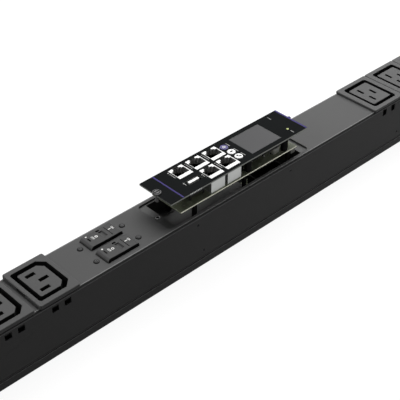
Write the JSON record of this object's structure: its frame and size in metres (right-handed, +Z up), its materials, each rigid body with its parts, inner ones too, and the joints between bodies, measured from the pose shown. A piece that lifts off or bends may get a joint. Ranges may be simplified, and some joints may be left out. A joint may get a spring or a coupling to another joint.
{
  "type": "rack power distribution unit",
  "caption": "Long charcoal sheet-metal rack power strip with rows of recessed mains outlets, rocker breakers and a controller module lifted out of its bay.",
  "frame": {"origin": "centre of the bounding box's underside, on the back face the unit lies on", "axes": "+X along the case away from the cable gland, +Y across it, +Z up out of the outlet face"},
  "size_m": [0.7552, 0.0422, 0.0686],
  "materials": {
    "case_paint": "fine satin powder coat",
    "outlet_plastic": "satin moulded",
    "breaker_plastic": "satin moulded",
    "black_plastic": "matte moulded",
    "gland_rubber": "matte",
    "plate_paint": "satin black overlay",
    "bright_steel": "plated",
    "dark_steel": "black zinc",
    "jack_shell": "tin plated",
    "board_green": "solder mask",
    "contact_brass": "rolled",
    "screen_glass": "matt grey screen",
    "display_case": "matte",
    "button_white": "satin",
    "button_purple": "satin",
    "lamp_lens": "clear tinted",
    "pale_plastic": "matte"
  },
  "bodies": {
    "case": {"backplane_board": "board_green", "backplane_socket": "black_plastic", "base_tray": "case_paint", "bay_frame": "case_paint", "bay_insert": "bright_steel", "bay_liner": "black_plastic", "breaker_body_1": "breaker_plastic", "breaker_body_2": "breaker_plastic", "breaker_screws": "bright_steel", "c13_outlet_1": "outlet_plastic", "c13_outlet_2": "outlet_plastic", "c13_outlet_3": "outlet_plastic", "c13_outlet_4": "outlet_plastic", "c13_outlet_5": "outlet_plastic", "c13_outlet_6": "outlet_plastic", "c19_outlet_1": "outlet_plastic", "c19_outlet_2": "outlet_plastic", "c19_outlet_3": "outlet_plastic", "c19_outlet_4": "outlet_plastic", "case_rivets": "dark_steel", "cover_channel": "case_paint", "current_sensor_1": "black_plastic", "current_sensor_2": "black_plastic", "earth_bar": "contact_brass", "end_cap_inlet": "case_paint", "end_cap_plain": "case_paint", "end_cap_screws": "dark_steel", "gland_body": "black_plastic", "gland_cap_nut": "black_plastic", "gland_locknut": "black_plastic", "gland_seal": "gland_rubber", "line_bar_c13": "contact_brass", "line_bar_c19": "contact_brass", "line_feed_bar": "contact_brass", "mounting_nuts": "bright_steel", "neutral_bar": "contact_brass", "terminal_block": "black_plastic"},
    "controller": {"face_plate": "plate_paint", "display_window": "screen_glass", "display_panel": "display_case", "usb_port": "jack_shell", "main_board": "board_green", "board_standoffs": "black_plastic", "guide_legs": "black_plastic", "captive_screw": "bright_steel", "board_plug": "black_plastic", "button_switches": "black_plastic", "light_pipe": "lamp_lens", "board_parts": "pale_plastic", "rj45_jack_1": "jack_shell", "rj45_jack_2": "jack_shell", "rj45_jack_3": "jack_shell", "rj45_jack_4": "jack_shell", "rj45_jack_5": "jack_shell"},
    "button_1": {"button_1": "button_purple"},
    "button_2": {"button_2": "button_white"},
    "button_3": {"button_3": "button_white"},
    "rocker_1": {"breaker_rocker_1": "breaker_plastic"},
    "rocker_2": {"breaker_rocker_2": "breaker_plastic"}
  },
  "joints": [
    {"name": "controller_lift", "type": "slide", "parent": "case", "child": "controller", "axis": [0, 0, 1], "range_m": [-0.02, 0.06]},
    {"name": "button_press_1", "type": "slide", "parent": "controller", "child": "button_1", "axis": [0, 0, 1], "range_m": [-0.0005, 0], "stiffness_N_per_m": 800, "springref_m": 0.0006},
    {"name": "button_press_2", "type": "slide", "parent": "controller", "child": "button_2", "axis": [0, 0, 1], "range_m": [-0.0005, 0], "stiffness_N_per_m": 800, "springref_m": 0.0006},
    {"name": "button_press_3", "type": "slide", "parent": "controller", "child": "button_3", "axis": [0, 0, 1], "range_m": [-0.0005, 0], "stiffness_N_per_m": 800, "springref_m": 0.0006},
    {"name": "rocker_tilt_1", "type": "hinge", "parent": "case", "child": "rocker_1", "pos_m": [-0.0496, 0.00875, 0.0437], "axis": [0, -1, 0], "range_deg": [0, 8]},
    {"name": "rocker_tilt_2", "type": "hinge", "parent": "case", "child": "rocker_2", "pos_m": [-0.0496, -0.00875, 0.0437], "axis": [0, -1, 0], "range_deg": [0, 8]}
  ]
}
